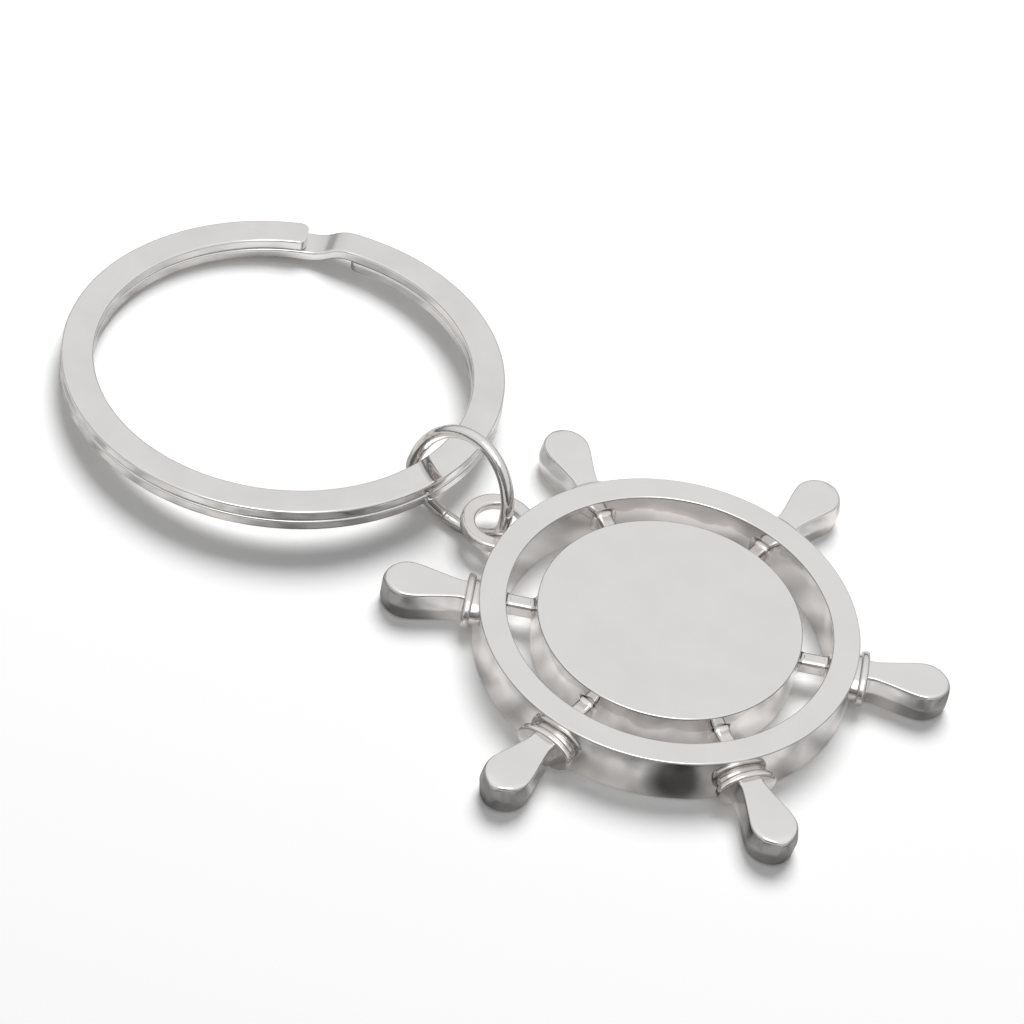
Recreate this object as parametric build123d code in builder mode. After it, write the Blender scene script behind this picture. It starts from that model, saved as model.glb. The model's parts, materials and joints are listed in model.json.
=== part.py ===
from build123d import *
from math import asin, atan2, cos, degrees, hypot, radians, sin
import os

os.makedirs("parts", exist_ok=True)

# A keychain pendant in the form of a ship's wheel, with its jump ring and its split key ring.
# The origin is the wheel's centre on its back face, +Z is the wheel's front,
# and +X runs from the wheel's centre towards the eye and the rings.
# Lengths are in millimetres and angles in degrees.

# Rim, hub and spokes
rim_outer_radius = 12.6
rim_width = 1.8
rim_height = 3.46
rim_round = 0.12
hub_recess = 0.04
hub_round = 0.12
spoke_length = 2.02
spoke_width = 1.1
spoke_height = 1.15
spoke_round = 0.3
member_count = 6
first_member_angle = 30

# Collars: an oval flange, held off the rim's wall by a smaller root
collar_half_width = 2.12
collar_rise_height = 0.35
collar_length = 0.55
collar_round = 0.2
collar_root_length = 0.25
collar_root_inset = 0.28

# Handles: flat paddles with straight sides, widest at a parting ridge at half height
handle_length = 5.5
handle_height = 2.37
handle_neck_half_width = 0.88
handle_head_half_width = 1.73
handle_draft_width = 0.2
handle_round = 0.3

# Eye, whose hole runs up to the rim's wall
eye_hole_radius = 1.52
eye_wall = 1.01
eye_height = 0.77
eye_tuck_depth = 0.07
eye_round = 0.25

# Jump ring: round wire bent to a loop that is flatter below, with a slit between its ends
jump_wire_radius = 0.45
jump_half_width = 3.95
jump_upper_height = 4.55
jump_lower_height = 2.09
jump_facing_angle = 87.69
jump_lean_angle = 13.36
jump_side_offset = 0.46
jump_slit_angle = 262
jump_slit_width = 0.12

# Split ring: a flat strip wound nearly two turns, stepping from one level to the other
split_outer_radius = 15.0
strip_width = 2.2
strip_thickness = 0.78
strip_edge_round = 0.16
strip_end_round = 0.6
coil_gap = 0.04
split_heading_angle = -2.0
split_fall_angle = 4.0
split_roll_angle = -1.9
split_rise_height = 0.44
split_side_offset = -0.04
free_end_angle = -56
step_length = 2.9
step_landing_length = 0.11

# Clearances between the loose pieces
floor_clearance = 0.05
eye_clearance = 0.38
rim_clearance = 0.2
loop_clearance = 0.46

overrun = 2.0

# Places that follow from the sizes above
full_turn = 360
half_turn = full_turn / 2
member_step = full_turn / member_count
member_angles = [first_member_angle + member_step * place for place in range(member_count)]
rim_inner_radius = rim_outer_radius - rim_width
hub_radius = rim_inner_radius - spoke_length
rim_middle = rim_height / 2
hub_height = rim_height - hub_recess
collar_height = handle_height + collar_rise_height
collar_middle = collar_height / 2
collar_start = rim_outer_radius + collar_root_length
collar_end = collar_start + collar_length
handle_middle = handle_height / 2
handle_reach = handle_length - handle_head_half_width
handle_head_centre = collar_end + handle_reach
handle_neck_distance = hypot(handle_reach, handle_neck_half_width)
handle_flare = asin(handle_head_half_width / handle_neck_distance)
handle_flare -= atan2(handle_neck_half_width, handle_reach)
eye_centre = rim_outer_radius + eye_hole_radius - eye_tuck_depth
eye_bottom = floor_clearance + 2 * jump_wire_radius + eye_clearance
eye_middle = eye_bottom + eye_height / 2
jump_centre_x = rim_outer_radius + rim_clearance + jump_wire_radius + jump_half_width
jump_centre_z = floor_clearance + jump_wire_radius + jump_lower_height * cos(radians(jump_lean_angle))
jump_far_inside = jump_centre_x + jump_half_width - jump_wire_radius
crossing_x = jump_far_inside - loop_clearance - strip_width / 2
crossing_z = jump_centre_z + split_rise_height
split_inner_radius = split_outer_radius - strip_width
split_middle_radius = split_outer_radius - strip_width / 2
step_angle = 2 * degrees(asin((step_length / 2 + step_landing_length) / split_inner_radius))
turn_angle = full_turn - step_angle
level_drop = strip_thickness + coil_gap
stack_height = level_drop + strip_thickness


def direction(angle):
    return Vector(cos(radians(angle)), sin(radians(angle)), 0)


def across(angle):
    return Vector(-sin(radians(angle)), cos(radians(angle)), 0)


# Rim
with BuildPart() as rim:
    with BuildSketch(Plane.XY):
        Circle(rim_outer_radius)
        Circle(rim_inner_radius, mode=Mode.SUBTRACT)
    extrude(amount=rim_height)
    fillet(rim.edges().filter_by(GeomType.CIRCLE), rim_round)

rim.part.label = "rim"
export_step(rim.part, "parts/rim.step")

# Hub
with BuildPart() as hub:
    with BuildSketch(Plane.XY):
        Circle(hub_radius)
    extrude(amount=hub_height)
    fillet(hub.edges().filter_by(GeomType.CIRCLE), hub_round)

hub.part.label = "hub"
export_step(hub.part, "parts/hub.step")

# Spokes, from the hub's wall to the rim's inner wall
for number, angle in enumerate(member_angles, start=1):
    spoke_plane = Plane(origin=(0, 0, rim_middle), x_dir=across(angle), z_dir=direction(angle))
    with BuildPart() as spoke:
        with BuildSketch(spoke_plane.offset(hub_radius - overrun)):
            RectangleRounded(spoke_width, spoke_height, spoke_round)
        extrude(amount=rim_inner_radius - hub_radius + 2 * overrun)
        with BuildSketch(Plane.XY):
            Circle(rim_inner_radius)
            Circle(hub_radius, mode=Mode.SUBTRACT)
        extrude(amount=rim_height, mode=Mode.INTERSECT)
    spoke.part.label = f"spoke_{number}"
    export_step(spoke.part, f"parts/spoke_{number}.step")

# Collars, seated on the rim's outer wall
for number, angle in enumerate(member_angles, start=1):
    collar_plane = Plane(origin=(0, 0, collar_middle), x_dir=across(angle), z_dir=direction(angle))
    with BuildPart() as collar:
        with BuildSketch(collar_plane.offset(collar_start)):
            Ellipse(collar_half_width, collar_middle)
        extrude(amount=collar_length)
        fillet(collar.edges().filter_by(GeomType.ELLIPSE), collar_round)
        with BuildSketch(collar_plane.offset(rim_outer_radius - overrun)):
            Ellipse(collar_half_width - collar_root_inset, collar_middle - collar_root_inset)
        extrude(amount=overrun + collar_root_length)
        with BuildSketch(Plane.XY):
            Circle(rim_outer_radius)
        extrude(amount=rim_height, mode=Mode.SUBTRACT)
    collar.part.label = f"collar_{number}"
    export_step(collar.part, f"parts/collar_{number}.step")


def draw_paddle(inset):
    head = handle_head_half_width - inset
    neck = (head - handle_reach * sin(handle_flare)) / cos(handle_flare)
    tip_angle = half_turn / 2 + degrees(handle_flare)
    with BuildLine() as border:
        tip = CenterArc((handle_head_centre, 0), head, -tip_angle, 2 * tip_angle)
        Polyline(tip @ 1, (collar_end, neck), (collar_end, -neck), tip @ 0)
    make_face(border.edges())


# Handles, from the collars' faces to the rounded tips
for number, angle in enumerate(member_angles, start=1):
    handle_plane = Plane(origin=(0, 0, 0), x_dir=direction(angle), z_dir=(0, 0, 1))
    with BuildPart() as handle:
        with BuildSketch(handle_plane):
            draw_paddle(handle_draft_width)
        with BuildSketch(handle_plane.offset(handle_middle)):
            draw_paddle(0)
        with BuildSketch(handle_plane.offset(handle_height)):
            draw_paddle(handle_draft_width)
        loft(ruled=True)
        flat_edges = handle.faces().filter_by(Plane.XY).edges()
        neck_middle = direction(angle) * collar_end + Vector(0, 0, handle_middle)
        fillet(flat_edges.sort_by_distance(neck_middle)[2:], handle_round)
    handle.part.label = f"handle_{number}"
    export_step(handle.part, f"parts/handle_{number}.step")

# Eye
eye_plane = Plane(origin=(eye_centre, 0, eye_middle), x_dir=(1, 0, 0), z_dir=(0, -1, 0))
with BuildPart() as eye:
    with BuildSketch(eye_plane):
        with Locations((eye_hole_radius + eye_wall / 2, 0)):
            RectangleRounded(eye_wall, eye_height, eye_round)
    revolve(axis=Axis(eye_plane.origin, eye_plane.y_dir))
    with BuildSketch(Plane.XY):
        Circle(rim_outer_radius)
    extrude(amount=rim_height, mode=Mode.SUBTRACT)

eye.part.label = "eye"
export_step(eye.part, "parts/eye.step")

# Jump ring: its plane faces across the eye and leans back, and its angle 0 points at the wheel
jump_centre = (jump_centre_x, jump_side_offset, jump_centre_z)
jump_tilt = radians(jump_lean_angle)
jump_normal = direction(jump_facing_angle) * cos(jump_tilt) + Vector(0, 0, sin(jump_tilt))
jump_plane = Plane(origin=jump_centre, x_dir=across(jump_facing_angle), z_dir=jump_normal)
with BuildPart() as jump_ring:
    with BuildLine(jump_plane) as loop:
        EllipticalCenterArc((0, 0), jump_half_width, jump_upper_height, arc_size=half_turn)
        EllipticalCenterArc((0, 0), jump_half_width, jump_lower_height, half_turn, arc_size=half_turn)
    with BuildSketch(Plane(origin=loop.line @ 0, z_dir=loop.line % 0)):
        Circle(jump_wire_radius)
    sweep(path=loop.line)
    with BuildSketch(jump_plane):
        with PolarLocations(jump_half_width, 1, start_angle=jump_slit_angle):
            Rectangle(2 * jump_half_width, jump_slit_width)
    extrude(amount=jump_wire_radius + overrun, both=True, mode=Mode.SUBTRACT)

jump_ring.part.label = "jump_ring"
export_step(jump_ring.part, "parts/jump_ring.step")

# Split ring: its plane's x runs from where it passes through the jump ring to its own centre
split_normal = Vector(sin(radians(split_fall_angle)), sin(radians(split_roll_angle)), 1).normalized()
split_outward = across(split_heading_angle).cross(split_normal).normalized()
crossing = Vector(crossing_x, split_side_offset, crossing_z)
split_top = crossing + split_outward * split_middle_radius + split_normal * (stack_height / 2)
split_plane = Plane(origin=split_top, x_dir=split_outward, z_dir=split_normal)
step_direction = radians(free_end_angle - step_angle / 2)
step_outward = split_plane.x_dir * cos(step_direction) + split_plane.y_dir * sin(step_direction)
step_plane = Plane(origin=split_top, x_dir=split_normal.cross(step_outward), z_dir=step_outward)
step_reach = step_length / 2 + overrun


def draw_strip(start, size):
    with BuildLine() as border:
        outside = CenterArc((0, 0), split_outer_radius, start, size)
        inside = CenterArc((0, 0), split_inner_radius, start, size)
        Line(outside @ 0, inside @ 0)
        Line(outside @ 1, inside @ 1)
    make_face(border.edges())


def draw_step(height):
    first = TangentArc((-step_length / 2, height), (0, height - level_drop / 2), tangent=(1, 0))
    second = TangentArc(first @ 1, (step_length / 2, height - level_drop), tangent=first % 1)
    Line((-step_reach, height), first @ 0)
    Line(second @ 1, (step_reach, height - level_drop))


with BuildPart() as split_ring:
    with BuildSketch(step_plane.offset(split_inner_radius - overrun)):
        with BuildLine():
            draw_step(0)
            draw_step(-strip_thickness)
            Line((-step_reach, 0), (-step_reach, -strip_thickness))
            Line((step_reach, -level_drop), (step_reach, -stack_height))
        make_face()
    extrude(amount=strip_width + 2 * overrun)
    with BuildSketch(split_plane):
        draw_strip(free_end_angle - step_angle, step_angle)
    extrude(amount=-stack_height, mode=Mode.INTERSECT)
    for level, end_angle in ((0, free_end_angle), (-level_drop, free_end_angle - step_angle)):
        with BuildSketch(split_plane.offset(level)) as turn:
            draw_strip(free_end_angle, turn_angle)
            end_middle = direction(end_angle) * split_middle_radius
            fillet(turn.vertices().sort_by_distance(end_middle)[:2], strip_end_round)
        extrude(amount=-strip_thickness)
    fillet(split_ring.edges().filter_by(lambda edge: edge.length > strip_width), strip_edge_round)

split_ring.part.label = "split_ring"
export_step(split_ring.part, "parts/split_ring.step")
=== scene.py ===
# %% [markdown]
# # A polished ship's wheel keychain
# This lesson dresses a small cast pendant, its jump ring and its split key ring, all in bright
# nickel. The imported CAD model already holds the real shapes. The work here is in finer surfaces
# for the pieces whose edges catch the light, in the little casting webs that CAD leaves out, in
# the finishes, and in the light that a mirror needs.

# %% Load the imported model
import json
from math import asin, cos, degrees, pi, radians, sin

import bmesh
import bpy
from mathutils import Matrix, Vector

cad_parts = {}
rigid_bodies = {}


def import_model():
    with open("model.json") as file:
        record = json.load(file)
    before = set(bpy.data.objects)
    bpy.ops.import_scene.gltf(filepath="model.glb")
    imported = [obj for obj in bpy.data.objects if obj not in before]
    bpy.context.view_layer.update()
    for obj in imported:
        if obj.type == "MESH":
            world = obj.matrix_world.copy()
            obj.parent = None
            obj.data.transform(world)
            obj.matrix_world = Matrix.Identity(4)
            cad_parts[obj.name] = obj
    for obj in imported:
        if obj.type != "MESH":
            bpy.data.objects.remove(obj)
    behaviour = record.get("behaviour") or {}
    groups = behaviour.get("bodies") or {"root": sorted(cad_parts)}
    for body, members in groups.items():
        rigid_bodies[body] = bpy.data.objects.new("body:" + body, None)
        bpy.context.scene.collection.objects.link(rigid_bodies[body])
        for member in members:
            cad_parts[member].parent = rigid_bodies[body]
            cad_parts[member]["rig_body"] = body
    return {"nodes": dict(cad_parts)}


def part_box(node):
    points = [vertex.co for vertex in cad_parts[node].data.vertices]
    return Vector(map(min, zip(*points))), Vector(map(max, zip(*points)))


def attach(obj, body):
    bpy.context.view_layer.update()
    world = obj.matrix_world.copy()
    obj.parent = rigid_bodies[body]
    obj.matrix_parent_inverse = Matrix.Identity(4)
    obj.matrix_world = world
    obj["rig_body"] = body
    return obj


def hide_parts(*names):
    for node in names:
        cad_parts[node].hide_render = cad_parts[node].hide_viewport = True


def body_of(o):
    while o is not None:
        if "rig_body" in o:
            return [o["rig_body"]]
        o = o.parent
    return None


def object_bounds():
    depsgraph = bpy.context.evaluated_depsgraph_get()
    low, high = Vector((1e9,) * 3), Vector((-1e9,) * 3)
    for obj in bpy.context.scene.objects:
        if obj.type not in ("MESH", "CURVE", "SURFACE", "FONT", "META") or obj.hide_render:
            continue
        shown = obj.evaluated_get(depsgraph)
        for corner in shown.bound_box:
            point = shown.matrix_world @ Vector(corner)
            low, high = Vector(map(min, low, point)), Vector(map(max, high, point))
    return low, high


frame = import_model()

cad_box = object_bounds()
nodes = frame["nodes"]
print("CAD box", [[round(v, 5) for v in corner] for corner in cad_box])

# %% [markdown]
# ## The camera
# The photograph looks down on the keychain at about 45 degrees, from its +Y side and somewhat from
# the wheel's end, through a long lens. A long lens keeps the near and far circles almost alike, so
# the focal length matters as much as the direction. Three vectors give the camera's right, up and
# back.

# %% Camera
camera_data = bpy.data.cameras.new("keychain_camera")
focal_pixels, photo_pixels = 5500, 1024
camera_data.sensor_width = 36.0
camera_data.lens = focal_pixels * camera_data.sensor_width / photo_pixels
camera_data.clip_start = 0.01
camera = bpy.data.objects.new("keychain_camera", camera_data)
bpy.context.scene.collection.objects.link(camera)
camera_right = Vector((-0.78392, -0.60365, 0.14520))
camera_up = Vector((0.51931, -0.50933, 0.68623))
camera_back = Vector((-0.34028, 0.61335, 0.71275))
camera_place = Vector((-0.110228, 0.222443, 0.261990))
camera_turn = Matrix((camera_right, camera_up, camera_back)).transposed()
camera.matrix_world = Matrix.Translation(camera_place) @ camera_turn.to_4x4()
toward_camera = Vector((camera_back.x, camera_back.y, 0)).normalized()
bpy.context.scene.camera = camera
bpy.context.scene.view_settings.view_transform = "Standard"
print("camera", [round(v, 4) for v in camera.location], "lens", round(camera_data.lens, 1))

# %% [markdown]
# ## Small tools for node trees
# Materials and node groups are wired by hand in code, and the same few moves come back all the
# time: add a node, set its inputs, link it on. A few short helpers keep the recipes readable.

# %% Node helpers
def add_node(tree, kind, place=(0, 0), **values):
    node = tree.nodes.new(kind)
    node.location = place
    for name, value in values.items():
        setattr(node, name, value)
    return node


def feed(tree, node, **inputs):
    for name, value in inputs.items():
        socket = node.inputs[name.replace("_", " ")]
        if isinstance(value, bpy.types.NodeSocket):
            tree.links.new(value, socket)
        else:
            socket.default_value = value
    return node


def new_group(name, inputs, outputs):
    group = bpy.data.node_groups.new(name, "ShaderNodeTree")
    for label, kind, value in inputs:
        socket = group.interface.new_socket(name=label, in_out="INPUT", socket_type=kind)
        if value is not None:
            socket.default_value = value
    for label, kind in outputs:
        group.interface.new_socket(name=label, in_out="OUTPUT", socket_type=kind)
    entry = add_node(group, "NodeGroupInput", (-900, 0))
    leave = add_node(group, "NodeGroupOutput", (900, 0))
    return group, entry, leave


def math_node(tree, operation, first, second=None, clamp=False):
    node = add_node(tree, "ShaderNodeMath", operation=operation, use_clamp=clamp)
    for place, value in enumerate((first, second)):
        if isinstance(value, bpy.types.NodeSocket):
            tree.links.new(value, node.inputs[place])
        elif value is not None:
            node.inputs[place].default_value = value
    return node.outputs[0]


def ramp_node(tree, factor, stops):
    node = add_node(tree, "ShaderNodeValToRGB")
    tree.links.new(factor, node.inputs[0])
    while len(node.color_ramp.elements) < len(stops):
        node.color_ramp.elements.new(0.5)
    for element, (place, colour) in zip(node.color_ramp.elements, stops):
        element.position = place
        element.color = (*colour, 1) if isinstance(colour, tuple) else (colour, colour, colour, 1)
    return node.outputs[0]


# %% [markdown]
# ## Polishing haze
# A nickel mirror is never perfect. Buffing leaves hairlines finer than a hair, and handling
# leaves a faint cloudy haze. Both roughen the mirror a little, and the haze dulls its colour too,
# so one group makes them for every finish here. Stretched noise makes the hairlines.

# %% Polishing haze group
haze, entry, leave = new_group(
    "polishing_haze",
    [
        ("Vector", "NodeSocketVector", None),
        ("Base Roughness", "NodeSocketFloat", 0.05),
        ("Cloud Size", "NodeSocketFloat", 300.0),
        ("Cloud Amount", "NodeSocketFloat", 0.05),
        ("Hairline Amount", "NodeSocketFloat", 0.02),
    ],
    [("Roughness", "NodeSocketFloat"), ("Cloud", "NodeSocketFloat")],
)
cloud = add_node(haze, "ShaderNodeTexNoise")
feed(haze, cloud, Vector=entry.outputs["Vector"], Scale=entry.outputs["Cloud Size"], Detail=4.0)
cloud_mask = ramp_node(haze, cloud.outputs["Fac"], [(0.35, 0.0), (0.7, 1.0)])
stretch = add_node(haze, "ShaderNodeMapping")
feed(haze, stretch, Vector=entry.outputs["Vector"], Rotation=(0, 0, 0.6), Scale=(9000, 500, 500))
hair = add_node(haze, "ShaderNodeTexNoise")
feed(haze, hair, Vector=stretch.outputs[0], Scale=1.0, Detail=3.0)
hair_mask = ramp_node(haze, hair.outputs["Fac"], [(0.52, 0.0), (0.68, 1.0)])
soft = math_node(haze, "MULTIPLY", cloud_mask, entry.outputs["Cloud Amount"])
lines = math_node(haze, "MULTIPLY", hair_mask, entry.outputs["Hairline Amount"])
hazy = math_node(haze, "ADD", entry.outputs["Base Roughness"], soft)
rough = math_node(haze, "ADD", hazy, lines, clamp=True)
haze.links.new(rough, leave.inputs["Roughness"])
haze.links.new(cloud_mask, leave.inputs["Cloud"])
print("group", haze.name, "with", len(haze.nodes), "nodes")

# %% [markdown]
# ## Cast walls
# The walls of a casting are softly wavy under the nickel. Reflections in them break into clouds,
# as the photograph shows on the rim's outer wall. Two noises of different size give a height, and
# a bump turns it into a tilt. The faces on top mirror calmly in the photograph, so a mask on the
# height leaves them flat.

# %% Cast wall group
cast, entry, leave = new_group(
    "cast_wall",
    [
        ("Vector", "NodeSocketVector", None),
        ("Wave Size", "NodeSocketFloat", 260.0),
        ("Wave Depth", "NodeSocketFloat", 0.00003),
        ("Grain Size", "NodeSocketFloat", 3200.0),
        ("Grain Depth", "NodeSocketFloat", 0.000002),
        ("Buffed Height", "NodeSocketFloat", 1.0),
    ],
    [("Normal", "NodeSocketVector")],
)
waves = add_node(cast, "ShaderNodeTexNoise")
feed(cast, waves, Vector=entry.outputs["Vector"], Scale=entry.outputs["Wave Size"], Detail=1.5)
grain = add_node(cast, "ShaderNodeTexNoise")
feed(cast, grain, Vector=entry.outputs["Vector"], Scale=entry.outputs["Grain Size"], Detail=3.0)
wave_height = math_node(cast, "MULTIPLY", waves.outputs["Fac"], entry.outputs["Wave Depth"])
grain_height = math_node(cast, "MULTIPLY", grain.outputs["Fac"], entry.outputs["Grain Depth"])
heights = add_node(cast, "ShaderNodeSeparateXYZ")
cast.links.new(entry.outputs["Vector"], heights.inputs[0])
below = math_node(cast, "SUBTRACT", entry.outputs["Buffed Height"], heights.outputs["Z"])
wall_mask = add_node(cast, "ShaderNodeMapRange", interpolation_type="SMOOTHSTEP")
feed(cast, wall_mask, Value=below, From_Min=0.00012, From_Max=0.0004)
bump = add_node(cast, "ShaderNodeBump")
feed(cast, bump, Height=math_node(cast, "ADD", wave_height, grain_height), Distance=1.0)
cast.links.new(wall_mask.outputs[0], bump.inputs["Strength"])
cast.links.new(bump.outputs[0], leave.inputs["Normal"])
print("group", cast.name, "with", len(cast.nodes), "nodes")


# %% [markdown]
# ## The nickel finishes
# Every piece has the same plating and a different surface: buffed faces, cast walls, drawn wire
# and rolled strip. A function lays out the shared part, and each finish passes its own numbers.
# The Principled shader stands in the material itself, and the groups only feed its inputs.

# %% Nickel finish
def nickel(name, colours, roughness, cloud, hairlines, wave=0.0, grain=0.0, buffed=1.0):
    colour, deep_colour = colours
    material = bpy.data.materials.new(name)
    material.use_nodes = True
    tree = material.node_tree
    shader = tree.nodes["Principled BSDF"]
    place = add_node(tree, "ShaderNodeTexCoord", (-900, 0))
    spots = add_node(tree, "ShaderNodeGroup", (-600, 200), node_tree=haze)
    feed(tree, spots, Vector=place.outputs["Object"], Base_Roughness=roughness)
    feed(tree, spots, Cloud_Amount=cloud, Hairline_Amount=hairlines)
    walls = add_node(tree, "ShaderNodeGroup", (-600, -200), node_tree=cast)
    feed(tree, walls, Vector=place.outputs["Object"], Buffed_Height=buffed)
    feed(tree, walls, Wave_Depth=wave, Grain_Depth=grain)
    tone = add_node(tree, "ShaderNodeMix", (-250, 250), data_type="RGBA")
    tree.links.new(spots.outputs["Cloud"], tone.inputs["Factor"])
    tone.inputs[6].default_value = (*colour, 1)
    tone.inputs[7].default_value = (*deep_colour, 1)
    tree.links.new(tone.outputs[2], shader.inputs["Base Color"])
    tree.links.new(spots.outputs["Roughness"], shader.inputs["Roughness"])
    tree.links.new(walls.outputs["Normal"], shader.inputs["Normal"])
    shader.inputs["Metallic"].default_value = 1.0
    return material


# %% Five finishes
wheel_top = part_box("rim")[1][2]
paddle_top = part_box("handle_1")[1][2]
buffed_colours = ((0.80, 0.79, 0.785), (0.78, 0.765, 0.755))
cast_colours = ((0.78, 0.76, 0.745), (0.72, 0.69, 0.67))
wire_colours = ((0.79, 0.775, 0.76), (0.74, 0.72, 0.70))
strip_colours = ((0.80, 0.79, 0.785), (0.76, 0.745, 0.73))
buffed_surface = {"roughness": 0.06, "cloud": 0.03, "hairlines": 0.02, "grain": 0.000001}
cast_surface = {"roughness": 0.12, "cloud": 0.10, "hairlines": 0.03, "grain": 0.000002}
drawn_surface = {"roughness": 0.08, "cloud": 0.04, "hairlines": 0.04}
rolled_surface = {"roughness": 0.07, "cloud": 0.04, "hairlines": 0.03}
buffed_nickel = nickel("buffed_nickel", buffed_colours, wave=0.00026, buffed=wheel_top, **buffed_surface)
paddle_nickel = nickel("paddle_nickel", buffed_colours, wave=0.0003, buffed=paddle_top, **buffed_surface)
cast_nickel = nickel("cast_nickel", cast_colours, wave=0.0004, **cast_surface)
wire_nickel = nickel("wire_nickel", wire_colours, **drawn_surface)
strip_nickel = nickel("strip_nickel", strip_colours, wave=0.000002, **rolled_surface)
print("the wheel is buffed at", round(wheel_top, 5), "and the handles at", round(paddle_top, 5))


# %% Dress the CAD nodes
def dress(node_name, material):
    mesh = nodes[node_name].data
    mesh.materials.clear()
    mesh.materials.append(material)


for node_name in nodes:
    if node_name.startswith(("spoke", "collar", "eye")):
        dress(node_name, cast_nickel)
    elif node_name.startswith("handle"):
        dress(node_name, paddle_nickel)
    elif node_name == "jump_ring":
        dress(node_name, wire_nickel)
    elif node_name == "split_ring":
        dress(node_name, strip_nickel)
    else:
        dress(node_name, buffed_nickel)
print("dressed", len(nodes), "nodes")

# %% [markdown]
# ## Six of each
# Handles and casting webs repeat six times round the wheel, so each is made once, on the side that
# points along +Y, and a Geometry Nodes tree turns copies of it round the wheel's centre. The same
# tree can smooth a coarse cage first, and keeps the edges sharper that the cage marks with a
# crease. Its levels, count and material are inputs, set on the modifier.

# %% Geometry Nodes tree
def geometry_tree(name):
    tree = bpy.data.node_groups.new(name, "GeometryNodeTree")
    tree.interface.new_socket(name="Geometry", in_out="INPUT", socket_type="NodeSocketGeometry")
    tree.interface.new_socket(name="Levels", in_out="INPUT", socket_type="NodeSocketInt")
    tree.interface.new_socket(name="Count", in_out="INPUT", socket_type="NodeSocketInt")
    tree.interface.new_socket(name="Material", in_out="INPUT", socket_type="NodeSocketMaterial")
    tree.interface.new_socket(name="Geometry", in_out="OUTPUT", socket_type="NodeSocketGeometry")
    entry = add_node(tree, "NodeGroupInput", (-900, 0))
    smoother = add_node(tree, "GeometryNodeSubdivisionSurface", (-600, 200))
    tree.links.new(entry.outputs["Geometry"], smoother.inputs["Mesh"])
    tree.links.new(entry.outputs["Levels"], smoother.inputs["Level"])
    creases = add_node(tree, "GeometryNodeInputNamedAttribute", (-900, 300), data_type="FLOAT")
    creases.inputs["Name"].default_value = "crease_edge"
    tree.links.new(creases.outputs["Attribute"], smoother.inputs["Edge Crease"])
    places = add_node(tree, "GeometryNodePoints", (-600, -100))
    tree.links.new(entry.outputs["Count"], places.inputs["Count"])
    number = add_node(tree, "GeometryNodeInputIndex", (-900, -300))
    share = math_node(tree, "DIVIDE", number.outputs[0], entry.outputs["Count"])
    turn = add_node(tree, "ShaderNodeCombineXYZ", (-400, -300))
    tree.links.new(math_node(tree, "MULTIPLY", share, 2 * pi), turn.inputs["Z"])
    copies = add_node(tree, "GeometryNodeInstanceOnPoints", (-200, 0))
    tree.links.new(places.outputs[0], copies.inputs["Points"])
    tree.links.new(smoother.outputs[0], copies.inputs["Instance"])
    tree.links.new(turn.outputs[0], copies.inputs["Rotation"])
    smooth = add_node(tree, "GeometryNodeSetShadeSmooth", (0, 0))
    tree.links.new(copies.outputs[0], smooth.inputs[0])
    solid = add_node(tree, "GeometryNodeRealizeInstances", (200, 0))
    tree.links.new(smooth.outputs[0], solid.inputs[0])
    painted = add_node(tree, "GeometryNodeSetMaterial", (400, 0))
    tree.links.new(solid.outputs[0], painted.inputs["Geometry"])
    tree.links.new(entry.outputs["Material"], painted.inputs["Material"])
    leave = add_node(tree, "NodeGroupOutput", (600, 0))
    tree.links.new(painted.outputs[0], leave.inputs["Geometry"])
    return tree


round_the_wheel = geometry_tree("round_the_wheel")
print("tree", round_the_wheel.name, "with", len(round_the_wheel.nodes), "nodes")


# %% Run the tree and keep its result as a plain mesh
def grow(name, base, levels, count, material):
    source = bpy.data.objects.new(name + "_source", base)
    bpy.context.scene.collection.objects.link(source)
    modifier = source.modifiers.new("tree", "NODES")
    modifier.node_group = round_the_wheel
    values = {"Levels": levels, "Count": count, "Material": material}
    for socket in round_the_wheel.interface.items_tree:
        if socket.in_out == "INPUT" and socket.name in values:
            modifier[socket.identifier] = values[socket.name]
    evaluated = source.evaluated_get(bpy.context.evaluated_depsgraph_get())
    mesh = bpy.data.meshes.new_from_object(evaluated)
    mesh.name = name
    bpy.data.objects.remove(source)
    return mesh


# %% [markdown]
# ## Rim and hub
# Both are plain turned forms, and their narrow rounded edges carry the brightest lines of the
# picture. CAD's triangles are long there, so each is turned again from the same sizes with more
# steps. A profile of flats and quarter circles is swept round the axis as rings of points. One
# more point on each flat, close beside each quarter circle, keeps the flat's shading calm.

# %% Rounded section
mm = 0.001
edge_radius = 0.12 * mm
shoulder_share = 0.4


def rounded_section(low, high, bottom, top, radius, arc_steps=6):
    points = []
    for x, z, first in ((high, bottom, -90), (high, top, 0), (low, top, 90), (low, bottom, 180)):
        centre_x = x - radius if x == high else x + radius
        centre_z = z - radius if z == top else z + radius
        for step in range(-1, arc_steps + 2):
            angle = radians(first + 90 * min(max(step, 0), arc_steps) / arc_steps)
            beyond = shoulder_share * radius * ((step > arc_steps) - (step < 0))
            px = centre_x + radius * cos(angle) - beyond * sin(angle)
            points.append((px, centre_z + radius * sin(angle) + beyond * cos(angle)))
    return points


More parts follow.
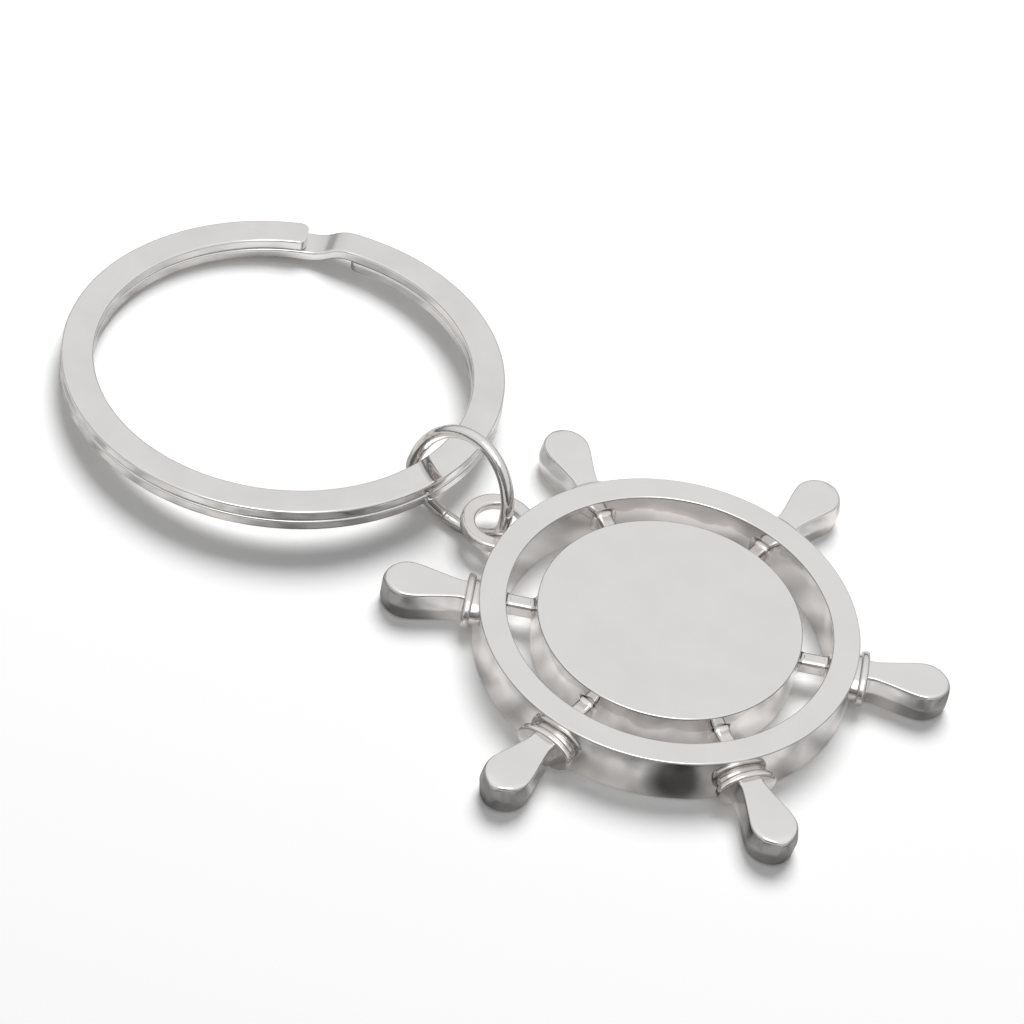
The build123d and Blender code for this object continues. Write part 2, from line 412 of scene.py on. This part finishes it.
# %% Skin over rings
def skin(name, rings, around, along, material):
    mesh = bmesh.new()
    rings = [[mesh.verts.new(point) for point in ring] for ring in rings]
    count = len(rings[0])
    spans = [(a, (a + 1) % count) for a in range(count if around else count - 1)]
    pairs = list(zip(rings, rings[1:] + (rings[:1] if along else [])))
    for ring, following in pairs:
        for a, b in spans:
            mesh.faces.new([ring[a], following[a], following[b], ring[b]])
    caps = [] if around else [[ring[0] for ring in rings], [ring[-1] for ring in rings]]
    caps += [] if along else [rings[0], rings[-1]]
    for cap in caps:
        mesh.faces.new(cap)
    bmesh.ops.recalc_face_normals(mesh, faces=mesh.faces[:])
    for face in mesh.faces:
        face.smooth = len(face.verts) == 4
    result = bpy.data.meshes.new(name)
    mesh.to_mesh(result)
    mesh.free()
    result.materials.append(material)
    piece = bpy.data.objects.new(name, result)
    bpy.context.scene.collection.objects.link(piece)
    print(name + ":", len(result.polygons), "faces")
    return piece


def turned(name, profile, hollow, steps=288):
    turns = [2 * pi * step / steps for step in range(steps)]
    rings = [[(x * cos(turn), x * sin(turn), z) for x, z in profile] for turn in turns]
    return skin(name, rings, hollow, True, buffed_nickel)


# %% Turned rim and hub
rim_radius, rim_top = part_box("rim")[1][0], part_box("rim")[1][2]
hub_radius, hub_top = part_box("hub")[1][0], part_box("hub")[1][2]
rim_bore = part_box("spoke_2")[1][1]
rim_section = rounded_section(rim_bore, rim_radius, 0.0, rim_top, edge_radius)
hub_section = rounded_section(-hub_radius, hub_radius, 0.0, hub_top, edge_radius)
turned_rim = turned("turned_rim", rim_section, True)
turned_hub = turned("turned_hub", hub_section[: len(hub_section) // 2], False)
for piece, node_name in ((turned_rim, "rim"), (turned_hub, "hub")):
    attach(piece, "wheel")
    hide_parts(node_name)

# %% [markdown]
# ## The split ring
# A spring steel strip is wound nearly twice round and steps from the upper turn to the lower one
# beside its free ends. The section is carried along the winding, and its height follows the step.
# Near each free end the section narrows on a quarter circle, which rounds the strip's corners.

# %% Sizes of the strip
coil_radius = 15.0 * mm
strip_width, strip_thickness, strip_edge = 2.2 * mm, 0.78 * mm, 0.16 * mm
end_round = 0.6 * mm
coil_gap = 0.04 * mm
level_drop = strip_thickness + coil_gap
half_step, step_landing = 1.45 * mm, 0.11 * mm
free_end_angle = -56.0
step_angle = 2 * degrees(asin((half_step + step_landing) / (coil_radius - strip_width)))
coil_angle = 2 * 360 - step_angle
middle_radius = coil_radius - strip_width / 2
fall_angle, roll_angle, heading_angle = 4.0, -1.9, -2.0
end_step_count, coil_step = 8, 1.25
print("the strip winds through", round(coil_angle, 1), "degrees")


# %% The step and the rounded ends
def step_height(along):
    half_drop = level_drop / 2
    bend = (half_step**2 + half_drop**2) / (2 * half_drop)
    if along <= 0:
        return (bend**2 - max(along + half_step, 0) ** 2) ** 0.5 - bend
    return bend - level_drop - (bend**2 - max(half_step - along, 0) ** 2) ** 0.5


def strip_ring(travelled):
    to_end = radians(min(travelled, coil_angle - travelled)) * middle_radius
    narrowing = end_round - (end_round**2 - max(end_round - to_end, 0) ** 2) ** 0.5
    half = strip_width / 2 - narrowing
    angle = radians(free_end_angle + travelled)
    from_step = travelled - (360 - step_angle / 2)
    section = rounded_section(middle_radius - half, middle_radius + half, -strip_thickness, 0.0, strip_edge)
    ring = []
    for x, z in section:
        along = x * sin(radians(max(min(from_step, step_angle / 2), -step_angle / 2)))
        ring.append(Vector((x * cos(angle), x * sin(angle), z + step_height(along))))
    return ring


# %% The wound strip
end_angle = degrees(end_round / middle_radius)
end_steps = [end_angle * (1 - cos(pi / 2 * step / end_step_count)) for step in range(end_step_count + 1)]
travels = end_steps + [end_angle + coil_step * step for step in range(1, int(coil_angle / coil_step))]
travels = [travelled for travelled in travels if travelled < coil_angle - end_angle]
travels += [coil_angle - travelled for travelled in reversed(end_steps)]
lean = Vector((sin(radians(fall_angle)), sin(radians(roll_angle)), 1)).normalized()
sideways = Vector((-sin(radians(heading_angle)), cos(radians(heading_angle)), 0))
outward = sideways.cross(lean).normalized()
lie = Matrix((outward, lean.cross(outward), lean)).transposed()
rings = [[lie @ point for point in strip_ring(travelled)] for travelled in travels]
wound_strip = skin("wound_strip", rings, True, False, strip_nickel)
strip_points = [vertex.co for vertex in wound_strip.data.vertices]
found_low, found_high = (Vector([pick(p[i] for p in strip_points) for i in range(3)]) for pick in (min, max))
wanted_low, wanted_high = (Vector(corner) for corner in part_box("split_ring"))
wound_strip.data.transform(Matrix.Translation((wanted_low + wanted_high - found_low - found_high) / 2))
excess = (found_high - found_low) - (wanted_high - wanted_low)
print("the strip's box is off by", [round(length, 6) for length in excess])
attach(wound_strip, body_of(nodes["split_ring"])[0])
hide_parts("split_ring")

# %% [markdown]
# ## The handles
# In the photograph each handle is a flat paddle with soft edges, softest round the tip, and its
# neck swells a little into its collar. CAD holds the plain paddle. A cage with five points along
# each side of its section, widened and narrowed along the handle, gives the softened form when it
# is subdivided. A crease along each side keeps a trace of the parting ridge. Round the tip, the
# sections follow a circle. The result is fitted to the CAD handle's own box, but its root reaches
# a fiftieth of the handle's length further, into the collar.

# %% Handle sections
collar_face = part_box("collar_2")[1][1]
handle_low, handle_high = (Vector(corner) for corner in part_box("handle_2"))
handle_length = handle_high.y - collar_face
handle_middle = (handle_low.z + handle_high.z) / 2
half_height = (handle_high.z - handle_low.z) / 2
draft = 0.2 * mm
head_radius = handle_high.x / mm
tip_centre = 1 - handle_high.x / handle_length
cage_width_share, ridge_crease = 1.03, 0.8
stations = [
    (-0.03, 1.04, 1.0, 0.28),
    (0.03, 0.98, 1.0, 0.26),
    (0.12, 1.02, 1.0, 0.25),
    (0.36, 1.34, 1.0, 0.25),
]
tip_turns = ((-18, 1.0, 0.30), (8, 1.0, 0.38), (34, 1.0, 0.5), (58, 0.96, 0.55), (78, 0.82, 0.3))
for angle, height_share, softness in tip_turns:
    along = tip_centre + (1 - tip_centre) * sin(radians(angle))
    half_width = cage_width_share * head_radius * cos(radians(angle))
    stations.append((along, half_width, height_share, softness))
stations.append((1.0, 0.18 * head_radius, 0.55, 0.15))
print("the handle has", len(stations), "sections and is", round(handle_length / mm, 2), "mm long")
print("it starts", round((handle_low.y - collar_face) / mm, 4), "mm from its collar")


# %% Handle cage
def section_point(station, column, row):
    along, half_width, height_share, softness = station
    half_width, softness = half_width * mm, softness * mm
    tall = half_height * height_share
    z = (-tall, softness - tall, 0.0, tall - softness, tall)[row]
    half_width -= draft * abs(z) / half_height
    x = (-half_width, softness - half_width, 0.0, half_width - softness, half_width)[column]
    return x, collar_face + along * handle_length, handle_middle + z


def paddle_cage():
    cage = bmesh.new()
    points = {}
    last = len(stations) - 1

    def corner(*key):
        if key not in points:
            points[key] = cage.verts.new(section_point(stations[key[0]], key[1], key[2]))
        return points[key]

    def face(*keys):
        cage.faces.new([corner(*key) for key in keys])

    ring = [(c, 0) for c in range(4)] + [(4, r) for r in range(4)]
    ring += [(c, 4) for c in range(4, 0, -1)] + [(0, r) for r in range(4, 0, -1)]
    for k in range(last):
        for (c1, r1), (c2, r2) in zip(ring, ring[1:] + ring[:1]):
            face((k, c1, r1), (k, c2, r2), (k + 1, c2, r2), (k + 1, c1, r1))
    for c in range(4):
        for r in range(4):
            for k in (0, last):
                face((k, c, r), (k, c + 1, r), (k, c + 1, r + 1), (k, c, r + 1))
    crease = cage.edges.layers.float.new("crease_edge")
    for k in range(last):
        for column in (0, 4):
            ridge = cage.edges.get((points[k, column, 2], points[k + 1, column, 2]))
            ridge[crease] = ridge_crease
    bmesh.ops.recalc_face_normals(cage, faces=cage.faces[:])
    mesh = bpy.data.meshes.new("paddle_cage")
    cage.to_mesh(mesh)
    cage.free()
    return mesh


# %% Fit to a box
def fit_to_box(mesh, low, high):
    axes = range(3)
    found_low = [min(v.co[i] for v in mesh.vertices) for i in axes]
    found_high = [max(v.co[i] for v in mesh.vertices) for i in axes]
    for vertex in mesh.vertices:
        shares = [(vertex.co[i] - found_low[i]) / (found_high[i] - found_low[i]) for i in axes]
        vertex.co = [low[i] + shares[i] * (high[i] - low[i]) for i in axes]


# %% Six handles
around_wheel = 6
smoothing_levels = 3
sunk_share = 0.02
paddle = grow("paddle", paddle_cage(), smoothing_levels, 1, paddle_nickel)
sunk = Vector((0, handle_low.y - handle_high.y, 0)) * sunk_share
fit_to_box(paddle, handle_low + sunk, handle_high)
handles = bpy.data.objects.new("handles", grow("handles", paddle, 0, around_wheel, paddle_nickel))
bpy.context.scene.collection.objects.link(handles)
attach(handles, "wheel")
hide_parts(*[f"handle_{number}" for number in range(1, 7)])
print("handles:", len(handles.data.polygons), "faces")

# %% [markdown]
# ## Casting webs
# The inner corners of a casting are rounded, so each spoke swells where it meets the hub and the
# rim. A web is one closed ring round the spoke: its section is a hollow quarter circle, closed by
# a corner that lies buried in the metal. The ring's outline follows the spoke's rounded section.

# %% Web ring
spoke_low, spoke_high = (Vector(corner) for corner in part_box("spoke_2"))
spoke_middle = (spoke_low.z + spoke_high.z) / 2
spoke_half_width = spoke_high.x
spoke_half_height = (spoke_high.z - spoke_low.z) / 2
web_radius = 0.38 * mm
print("a spoke is", round(2 * spoke_half_width / mm, 2), "by", round(2 * spoke_half_height / mm, 2), "mm")


def web(name, wall_radius, side, radius, steps=64, arc_steps=8, squareness=0.55, buried=0.05 * mm):
    profile = []
    for step in range(arc_steps + 1):
        angle = pi / 2 * step / arc_steps
        profile.append((radius - radius * sin(angle), radius - radius * cos(angle)))
    profile += [(-buried, radius), (-buried, -buried), (radius, -buried)]
    rings = []
    mesh = bmesh.new()
    for step in range(steps):
        turn = 2 * pi * step / steps
        across, up = cos(turn), sin(turn)
        wide = abs(across) ** squareness * (1 if across > 0 else -1)
        tall = abs(up) ** squareness * (1 if up > 0 else -1)
        ring = []
        for out, lift in profile:
            x = (spoke_half_width + out) * wide
            z = spoke_middle + (spoke_half_height + out) * tall
            y = (wall_radius**2 - x**2) ** 0.5 + side * lift
            ring.append(mesh.verts.new((x, y, z)))
        rings.append(ring)
    for ring, following in zip(rings, rings[1:] + rings[:1]):
        for a in range(len(profile)):
            b = (a + 1) % len(profile)
            mesh.faces.new([ring[a], ring[b], following[b], following[a]])
    bmesh.ops.recalc_face_normals(mesh, faces=mesh.faces[:])
    result = bpy.data.meshes.new(name)
    mesh.to_mesh(result)
    mesh.free()
    return result


# %% Twelve webs
hub_wall, rim_wall = spoke_low.y, spoke_high.y
for name, wall_radius, side in (("hub_webs", hub_wall, 1), ("rim_webs", rim_wall, -1)):
    ring = web(name + "_ring", wall_radius, side, web_radius)
    piece = bpy.data.objects.new(name, grow(name, ring, 0, around_wheel, cast_nickel))
    bpy.context.scene.collection.objects.link(piece)
    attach(piece, "wheel")
    print(name + ":", len(piece.data.polygons), "faces")

# %% [markdown]
# ## The table
# The keychain lies on plain white. The floor keeps the real shadow, and a little of its own
# light, seen by the camera alone, lifts it to white where nothing shades it. Mirror rays alone
# see a painted reflection of the table: greyer and cloudier, and a little paler under the wheel,
# where a painted glow lights it. A painted dark band runs round the wheel, all but on the side
# away from the camera, and one painted dark spot lies in front. The band paints the dark
# reflections on the lower parts of the handles, and the spot paints the dark patch on the rim's
# wall, as in the photograph.

# %% Floor
floor_mesh = bpy.data.meshes.new("floor")
floor_reach, floor_gap = 3.0, 0.00001
floor_level = min(0.0, cad_box[0][2]) - floor_gap
quarters = ((-1, -1), (1, -1), (1, 1), (-1, 1))
corners = [(x * floor_reach, y * floor_reach, floor_level) for x, y in quarters]
floor_mesh.from_pydata(corners, [], [(0, 1, 2, 3)])
floor = bpy.data.objects.new("floor", floor_mesh)
bpy.context.scene.collection.objects.link(floor)
print("the floor lies at", floor_level)

# %% The table's paper
paper = bpy.data.materials.new("white_paper")
paper.use_nodes = True
tree = paper.node_tree
shader = tree.nodes["Principled BSDF"]
shader.inputs["Roughness"].default_value = 1.0
shader.inputs["Specular IOR Level"].default_value = 0.0
# Painted reflection, seen by mirror rays alone: how dark the painted band and spot are, the painted glow of
# the clouds and under the wheel, and the greyness of the mirrored table. Only the camera's glow is the
# floor's plain lift to white.
band_shade, spot_shade = 0.62, 0.85
spot_angle, spot_reach = radians(131), 1.14 * rim_radius
cloud_glow, slot_glow, camera_glow = 0.32, 0.06, 0.07
cloud_albedo, base_albedo, slot_albedo = 0.45, 0.22, 0.1
rays = add_node(tree, "ShaderNodeLightPath", (-1000, 0))
place = add_node(tree, "ShaderNodeTexCoord", (-1500, -200))
reach = add_node(tree, "ShaderNodeVectorMath", (-1300, -200), operation="LENGTH")
tree.links.new(place.outputs["Object"], reach.inputs[0])
print("the dark spot lies", round(spot_reach / mm, 1), "mm from the wheel's centre")


# %% Painted reflection: clouds, dark band and dark spot
def zone(start, end):
    band = add_node(tree, "ShaderNodeMapRange", interpolation_type="SMOOTHSTEP")
    feed(tree, band, Value=reach.outputs["Value"])
    feed(tree, band, From_Min=start * rim_radius, From_Max=end * rim_radius)
    return band.outputs[0]


# Painted reflection: the blotches, band and spot below shape only the floor that mirror rays see.
blotch = add_node(tree, "ShaderNodeTexNoise", (-1300, -500), noise_dimensions="4D")
feed(tree, blotch, Vector=place.outputs["Object"], W=3.0, Scale=300.0, Detail=1.5)
clouds = ramp_node(tree, blotch.outputs["Fac"], [(0.36, 0.4), (0.6, 1.0)])
band_start, band_end = zone(1.14, 1.3), zone(2.0, 2.4)
bearing = add_node(tree, "ShaderNodeVectorMath", (-1300, -800), operation="DOT_PRODUCT")
heading = add_node(tree, "ShaderNodeVectorMath", (-1500, -800), operation="NORMALIZE")
tree.links.new(place.outputs["Object"], heading.inputs[0])
tree.links.new(heading.outputs[0], bearing.inputs[0])
bearing.inputs[1].default_value = toward_camera
near_half = add_node(tree, "ShaderNodeMapRange", interpolation_type="SMOOTHSTEP")
feed(tree, near_half, Value=bearing.outputs["Value"], From_Min=-0.7, From_Max=-0.2)
whole_band = math_node(tree, "SUBTRACT", band_start, band_end)
painted_dark_band = math_node(tree, "MULTIPLY", whole_band, near_half.outputs[0])
spot = add_node(tree, "ShaderNodeVectorMath", (-1300, -1000), operation="DISTANCE")
tree.links.new(place.outputs["Object"], spot.inputs[0])
spot.inputs[1].default_value = (spot_reach * cos(spot_angle), spot_reach * sin(spot_angle), 0)
painted_dark_spot = add_node(tree, "ShaderNodeMapRange", interpolation_type="SMOOTHSTEP")
feed(tree, painted_dark_spot, Value=spot.outputs["Value"], From_Min=3.2 * mm, From_Max=1.2 * mm)
# Under the wheel, where the slots mirror the floor, a painted glow and a paler painted albedo brighten the
# reflections.
slot = math_node(tree, "SUBTRACT", 1.0, zone(0.82, 0.9))
print("the clouds, band, spot and slot take", len(tree.nodes), "nodes")

# %% The table's painted reflection, as the walls mirror it
# Painted shade: the dark band and dark spot darken both the painted glow and the painted albedo.
band_light = math_node(tree, "SUBTRACT", 1.0, math_node(tree, "MULTIPLY", painted_dark_band, band_shade))
spot_dark = math_node(tree, "MULTIPLY", painted_dark_spot.outputs[0], spot_shade)
shade = math_node(tree, "MULTIPLY", band_light, math_node(tree, "SUBTRACT", 1.0, spot_dark))
shaded_glow = math_node(tree, "MULTIPLY", math_node(tree, "MULTIPLY", clouds, cloud_glow), shade)
painted_reflection_glow = math_node(tree, "ADD", shaded_glow, math_node(tree, "MULTIPLY", slot, slot_glow))
cloudy = math_node(tree, "ADD", math_node(tree, "MULTIPLY", clouds, cloud_albedo), base_albedo)
shaded_albedo = math_node(tree, "MULTIPLY", shade, cloudy)
painted_reflection_albedo = math_node(tree, "ADD", shaded_albedo, math_node(tree, "MULTIPLY", slot, slot_albedo))
# Mirror rays see the painted albedo; the camera and all other rays see plain white.
albedo = add_node(tree, "ShaderNodeMix", (-400, 300), data_type="FLOAT")
tree.links.new(rays.outputs["Is Glossy Ray"], albedo.inputs[0])
albedo.inputs[2].default_value = 1.0
tree.links.new(painted_reflection_albedo, albedo.inputs[3])
tree.links.new(albedo.outputs[0], shader.inputs["Base Color"])
# Painted glow for mirror rays, tinted warm; the camera's own glow only lifts the floor to white.
painted_reflection_lift = math_node(tree, "MULTIPLY", rays.outputs["Is Glossy Ray"], painted_reflection_glow)
camera_lift = math_node(tree, "MULTIPLY", rays.outputs["Is Camera Ray"], camera_glow)
glow = add_node(tree, "ShaderNodeMix", (-300, -200), data_type="RGBA")
tree.links.new(rays.outputs["Is Glossy Ray"], glow.inputs["Factor"])
glow.inputs[6].default_value = (1, 1, 1, 1)
glow.inputs[7].default_value = (1.0, 0.955, 0.925, 1)
tree.links.new(glow.outputs[2], shader.inputs["Emission Color"])
tree.links.new(math_node(tree, "ADD", painted_reflection_lift, camera_lift), shader.inputs["Emission Strength"])
floor_mesh.materials.append(paper)
print("the floor's material has", len(tree.nodes), "nodes")

# %% [markdown]
# ## The light
# A mirror shows what stands around it, so the surroundings are the real paint here. The world
# is a pale studio: brighter overhead, a calm pale grey at the height that the flat faces
# mirror, and dark near the table. On the camera's side it has a dark patch low down, which draws
# the dark lines along the edges, and a bright one high up, which draws the white ones. A big soft
# lamp from behind gives the shadow that falls towards the camera. The metal doesn't mirror it.

# %% The sky that the metal mirrors
world = bpy.data.worlds.new("studio")
bpy.context.scene.world = world
world.use_nodes = True
tree = world.node_tree
tree.nodes.clear()
view = add_node(tree, "ShaderNodeTexCoord", (-1200, 0))
split = add_node(tree, "ShaderNodeSeparateXYZ", (-1000, 0))
tree.links.new(view.outputs["Generated"], split.inputs[0])
sky_stops = [(0.0, 0.12), (0.14, 0.3), (0.3, 0.76), (0.6, 0.86), (0.78, 0.88), (1.0, 1.02)]
sky = ramp_node(tree, split.outputs["Z"], sky_stops)


def raised(direction, angle):
    return direction * cos(radians(angle)) + Vector((0, 0, sin(radians(angle))))


def patch(angle, place, stops):
    facing = add_node(tree, "ShaderNodeVectorMath", place, operation="DOT_PRODUCT")
    tree.links.new(view.outputs["Generated"], facing.inputs[0])
    facing.inputs[1].default_value = raised(toward_camera, angle)
    return ramp_node(tree, facing.outputs["Value"], stops)


dark_side = patch(22, (-1000, -300), [(0.88, 1.0), (0.975, 0.3)])
bright_side = patch(66, (-1000, -500), [(0.91, 1.0), (0.965, 2.6)])
shown = add_node(tree, "ShaderNodeMix", (-300, 0), data_type="RGBA", blend_type="MULTIPLY")
shown.inputs["Factor"].default_value = 1.0
tree.links.new(sky, shown.inputs[6])
tree.links.new(dark_side, shown.inputs[7])
lit = add_node(tree, "ShaderNodeMix", (-150, 0), data_type="RGBA", blend_type="MULTIPLY")
lit.inputs["Factor"].default_value = 1.0
tree.links.new(shown.outputs[2], lit.inputs[6])
tree.links.new(bright_side, lit.inputs[7])
print("the sky takes", len(tree.nodes), "nodes")

# %% What each ray sees
mirror_light = add_node(tree, "ShaderNodeBackground", (-50, 100))
tree.links.new(lit.outputs[2], mirror_light.inputs["Color"])
soft_light = add_node(tree, "ShaderNodeBackground", (-50, -100))
feed(tree, soft_light, Color=(1, 1, 1, 1), Strength=0.24)
white = add_node(tree, "ShaderNodeBackground", (-50, -250))
feed(tree, white, Color=(1, 1, 1, 1), Strength=1.0)
rays = add_node(tree, "ShaderNodeLightPath", (-300, 400))
glossy = add_node(tree, "ShaderNodeMixShader", (200, 0))
tree.links.new(rays.outputs["Is Glossy Ray"], glossy.inputs[0])
tree.links.new(soft_light.outputs[0], glossy.inputs[1])
tree.links.new(mirror_light.outputs[0], glossy.inputs[2])
seen = add_node(tree, "ShaderNodeMixShader", (400, 0))
tree.links.new(rays.outputs["Is Camera Ray"], seen.inputs[0])
tree.links.new(glossy.outputs[0], seen.inputs[1])
tree.links.new(white.outputs[0], seen.inputs[2])
out = add_node(tree, "ShaderNodeOutputWorld", (600, 0))
tree.links.new(seen.outputs[0], out.inputs["Surface"])
print("the world has", len(tree.nodes), "nodes")

# %% Key lamp
lamp_data = bpy.data.lights.new("back_softbox", "AREA")
lamp_data.shape = "DISK"
lamp_data.size = 0.36
lamp_data.energy = 3.3
lamp_angle, lamp_turn, lamp_distance = 57, -2, 0.6
lamp = bpy.data.objects.new("back_softbox", lamp_data)
bpy.context.scene.collection.objects.link(lamp)
away = -toward_camera
away.rotate(Matrix.Rotation(radians(lamp_turn), 3, "Z"))
aim = Vector((0.010, 0.0, 0.0))
lamp_place = aim + raised(away, lamp_angle) * lamp_distance
lamp_facing = (lamp_place - aim).to_track_quat("Z", "Y").to_matrix().to_4x4()
lamp.matrix_world = Matrix.Translation(lamp_place) @ lamp_facing
lamp.visible_glossy = False
print("the lamp stands at", [round(place, 3) for place in lamp_place])
